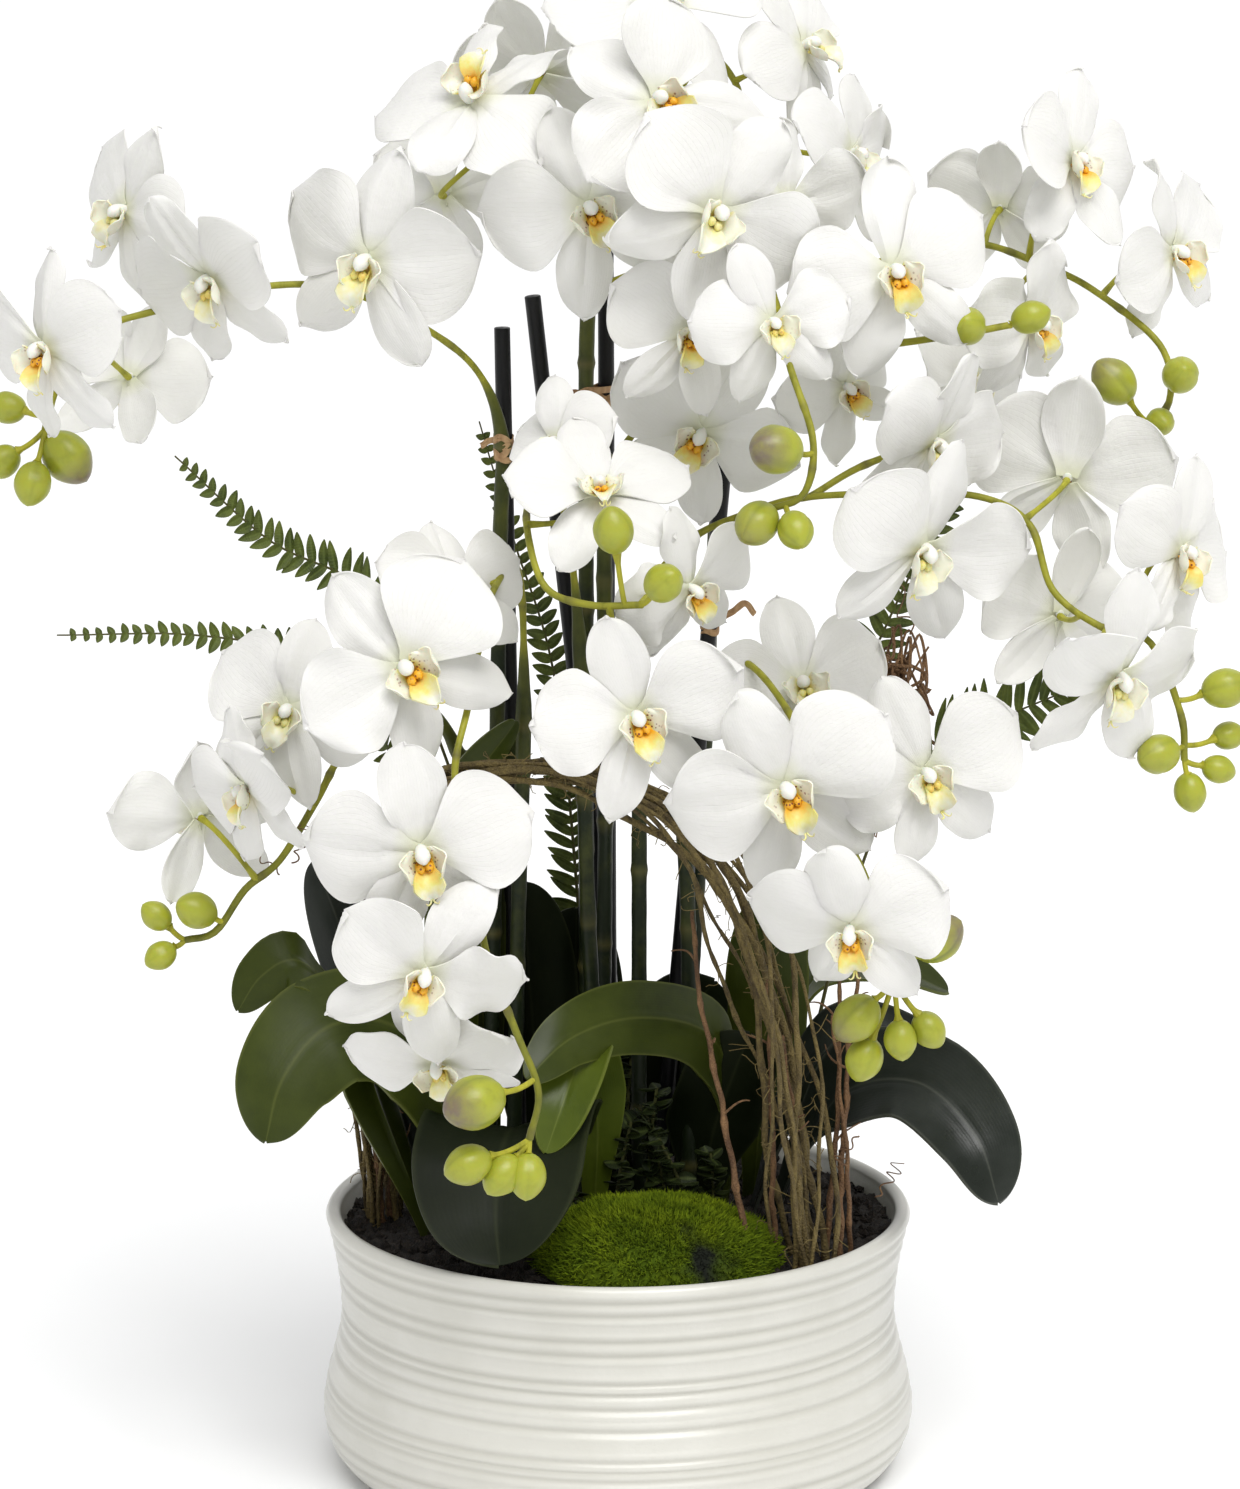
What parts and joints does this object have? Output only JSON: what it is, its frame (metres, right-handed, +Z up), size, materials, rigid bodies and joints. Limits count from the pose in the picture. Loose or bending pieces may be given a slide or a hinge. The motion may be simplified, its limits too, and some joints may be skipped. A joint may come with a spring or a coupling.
{
  "type": "potted orchid",
  "caption": "White moth orchid sprays with buds, strap leaves, fern fronds and twigs, staked in a low round ceramic bowl filled with soil and moss.",
  "frame": {"origin": "centre of the pot's flat underside, on the surface that it stands on", "axes": "+Z up along the pot's turning axis; -Y towards the front, where most blooms face; +X to the right seen from the front"},
  "size_m": [0.5795, 0.3566, 0.7338],
  "materials": {
    "glazed_pot": "satin off-white glaze over turned rings",
    "soil": "dark crumbly bark and soil",
    "moss": "soft fuzzy green moss",
    "stake": "black satin coat",
    "raffia": "dry tan raffia",
    "petal": "soft white petal, faint veins, thin edges",
    "flower_stem": "smooth yellow-green stem, darker below",
    "leaf": "waxy dark green leaf with a centre crease",
    "fern": "matt mid-green leaflets",
    "vine": "rough brown bark with mossy fuzz",
    "bud": "smooth yellow-green bud with a purple-grey blush",
    "lip": "cream and orange-yellow lip with maroon dots"
  },
  "bodies": {
    "root": {"bloom_centre_1": "petal", "bloom_crown_1": "petal", "bloom_crown_2": "petal", "bloom_crown_3": "petal", "bloom_crown_4": "petal", "bloom_crown_5": "petal", "bloom_front_left_1": "petal", "bloom_front_left_2": "petal", "bloom_front_left_3": "petal", "bloom_front_right_1": "petal", "bloom_front_right_2": "petal", "bloom_left_arch_1": "petal", "bloom_left_arch_2": "petal", "bloom_left_arch_3": "petal", "bloom_left_arch_4": "petal", "bloom_mid_right_1": "petal", "bloom_mid_right_2": "petal", "bloom_mid_right_3": "petal", "bloom_mid_right_4": "petal", "bloom_middle_1": "petal", "bloom_middle_2": "petal", "bloom_right_1": "petal", "bloom_right_2": "petal", "centre_spray": "flower_stem", "crown_spray": "flower_stem", "frond_behind_stakes": "fern", "frond_lower_left": "fern", "frond_right": "fern", "frond_upper_left": "fern", "frond_upper_right": "fern", "front_left_spray": "flower_stem", "front_right_spray": "flower_stem", "leaf_back_broad": "leaf", "leaf_centre_arching": "leaf", "leaf_centre_hanging": "leaf", "leaf_front": "leaf", "leaf_left_drooping": "leaf", "leaf_left_small": "leaf", "leaf_left_tall": "leaf", "leaf_right_back": "leaf", "leaf_right_drooping": "leaf", "leaf_right_upper": "leaf", "left_arch_spray": "flower_stem", "left_spray": "flower_stem", "mid_right_spray": "flower_stem", "middle_spray": "flower_stem", "moss_mound": "moss", "pot": "glazed_pot", "right_spray": "flower_stem", "soil": "soil", "stake_leaning": "stake", "stake_left": "stake", "stake_middle": "stake", "stake_right": "stake", "tie_left": "raffia", "tie_middle": "raffia", "tie_right": "raffia", "twig_sheaf": "vine", "vine_bundle": "vine"}
  },
  "joints": []
}
